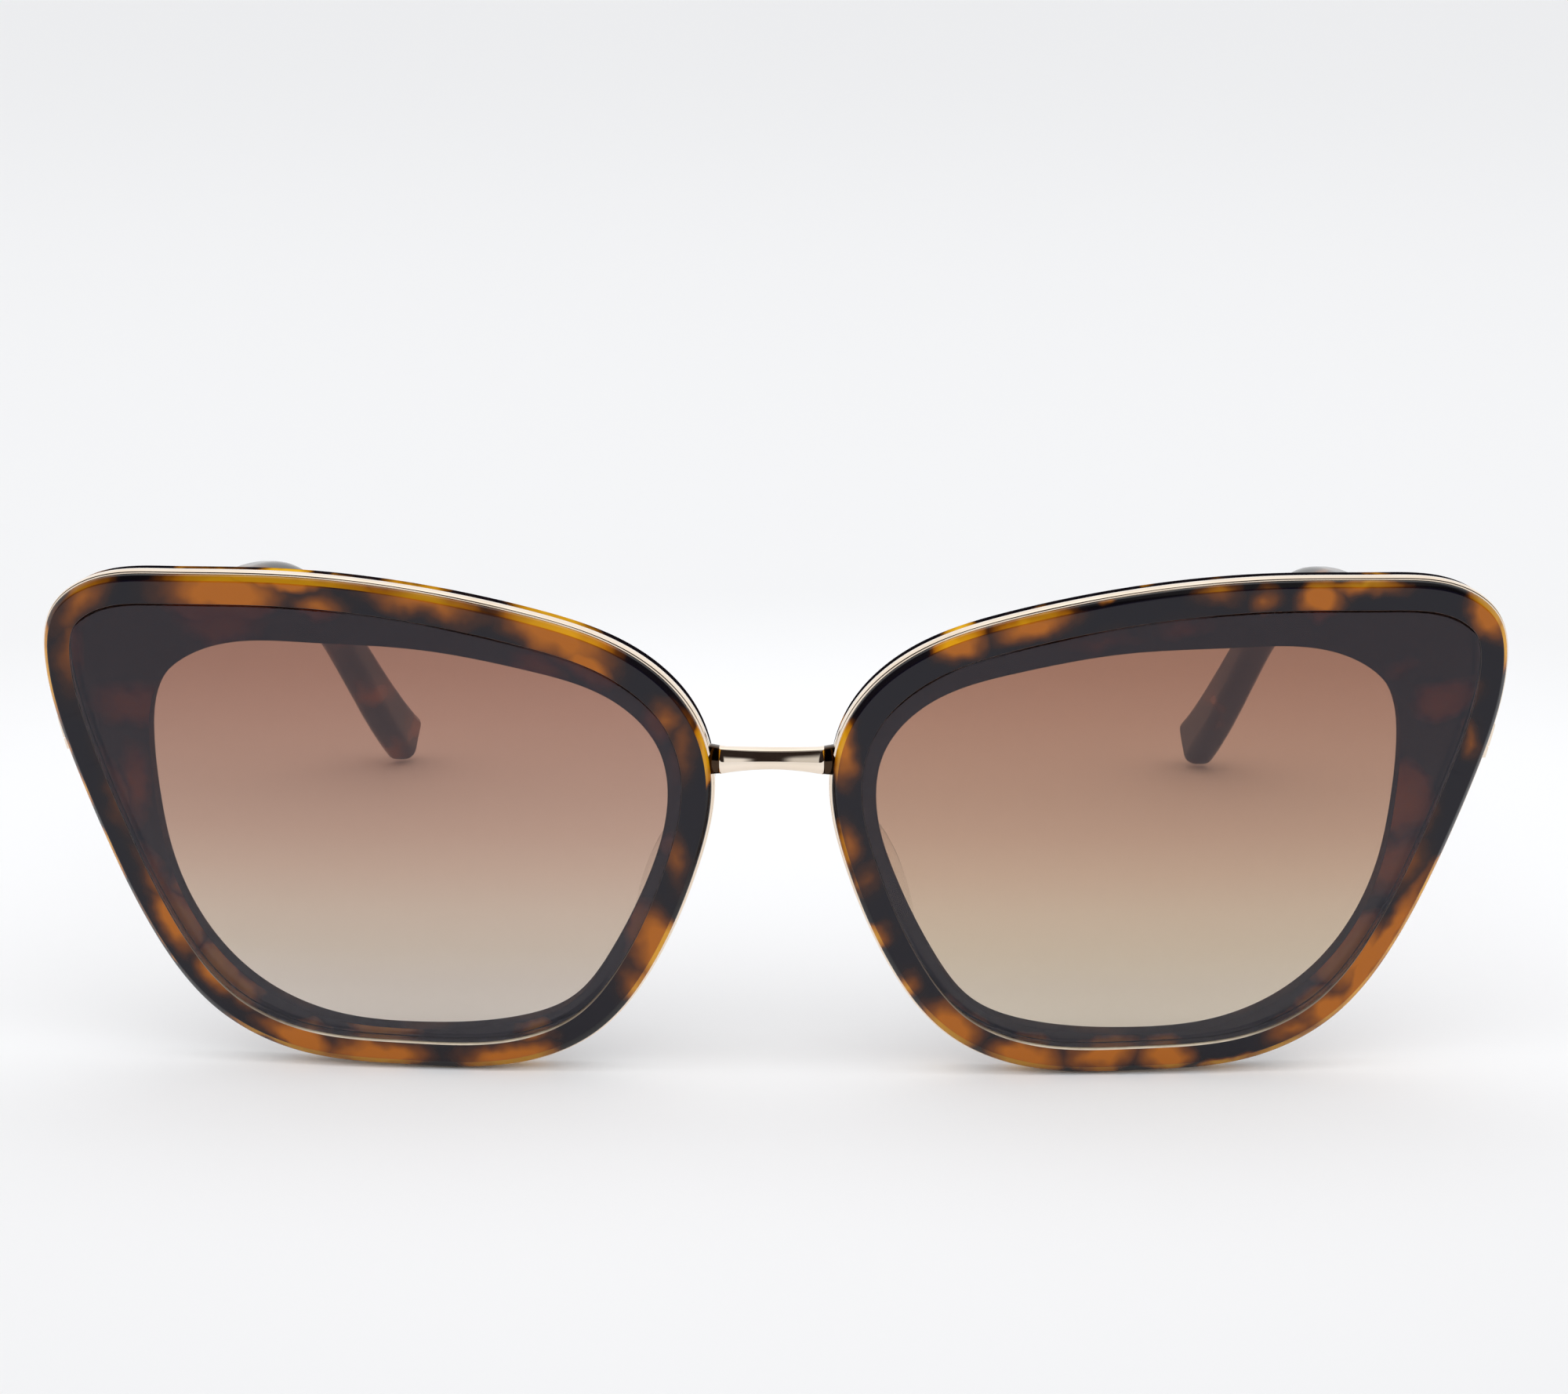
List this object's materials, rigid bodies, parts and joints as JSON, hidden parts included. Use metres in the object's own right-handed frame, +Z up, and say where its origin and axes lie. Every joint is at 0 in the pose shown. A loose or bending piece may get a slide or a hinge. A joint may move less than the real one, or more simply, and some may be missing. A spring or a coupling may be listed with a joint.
{
  "type": "sunglasses",
  "caption": "Oversized cat eye sunglasses: thick tortoiseshell rims with inlaid metal rim wires, a metal bridge, tinted lenses and folding temples.",
  "frame": {"origin": "centre of the bounding box, on the surface that the glasses stand on", "axes": "+X towards the wearer's left, +Y back along the temples, +Z up; mirror symmetric about the YZ plane"},
  "size_m": [0.142, 0.147, 0.0501],
  "materials": {
    "front_acetate": "polished tortoiseshell acetate, near black with amber patches",
    "temple_acetate": "polished tortoiseshell acetate",
    "pale_gold": "polished pale gold plate",
    "lens_tint": "clear gradient tint, brown at the top fading to pale beige",
    "clear_pad": "clear, polished",
    "screw_steel": "turned",
    "washer_plastic": "thin translucent",
    "core_metal": "satin"
  },
  "bodies": {
    "front": {"bridge": "pale_gold", "rim_left": "front_acetate", "rim_wire_left": "pale_gold", "lens_left": "lens_tint", "nose_pad_left": "clear_pad", "closing_block_left": "pale_gold", "closing_screw_left": "screw_steel", "end_piece_left": "pale_gold", "hinge_screw_left": "screw_steel", "hinge_washers_left": "washer_plastic", "rim_right": "front_acetate", "rim_wire_right": "pale_gold", "lens_right": "lens_tint", "nose_pad_right": "clear_pad", "closing_block_right": "pale_gold", "closing_screw_right": "screw_steel", "end_piece_right": "pale_gold", "hinge_screw_right": "screw_steel", "hinge_washers_right": "washer_plastic"},
    "temple_left_arm": {"temple_left": "temple_acetate", "temple_core_left": "core_metal", "hinge_leaf_left": "pale_gold"},
    "temple_right_arm": {"temple_right": "temple_acetate", "temple_core_right": "core_metal", "hinge_leaf_right": "pale_gold"}
  },
  "joints": [
    {"name": "temple_left_fold", "type": "hinge", "parent": "front", "child": "temple_left_arm", "pos_m": [0.0653, -0.05733, 0.0315], "axis": [0, 0, 1], "range_deg": [0, 85]},
    {"name": "temple_right_fold", "type": "hinge", "parent": "front", "child": "temple_right_arm", "pos_m": [-0.0653, -0.05733, 0.0315], "axis": [0, 0, -1], "range_deg": [0, 74]}
  ]
}
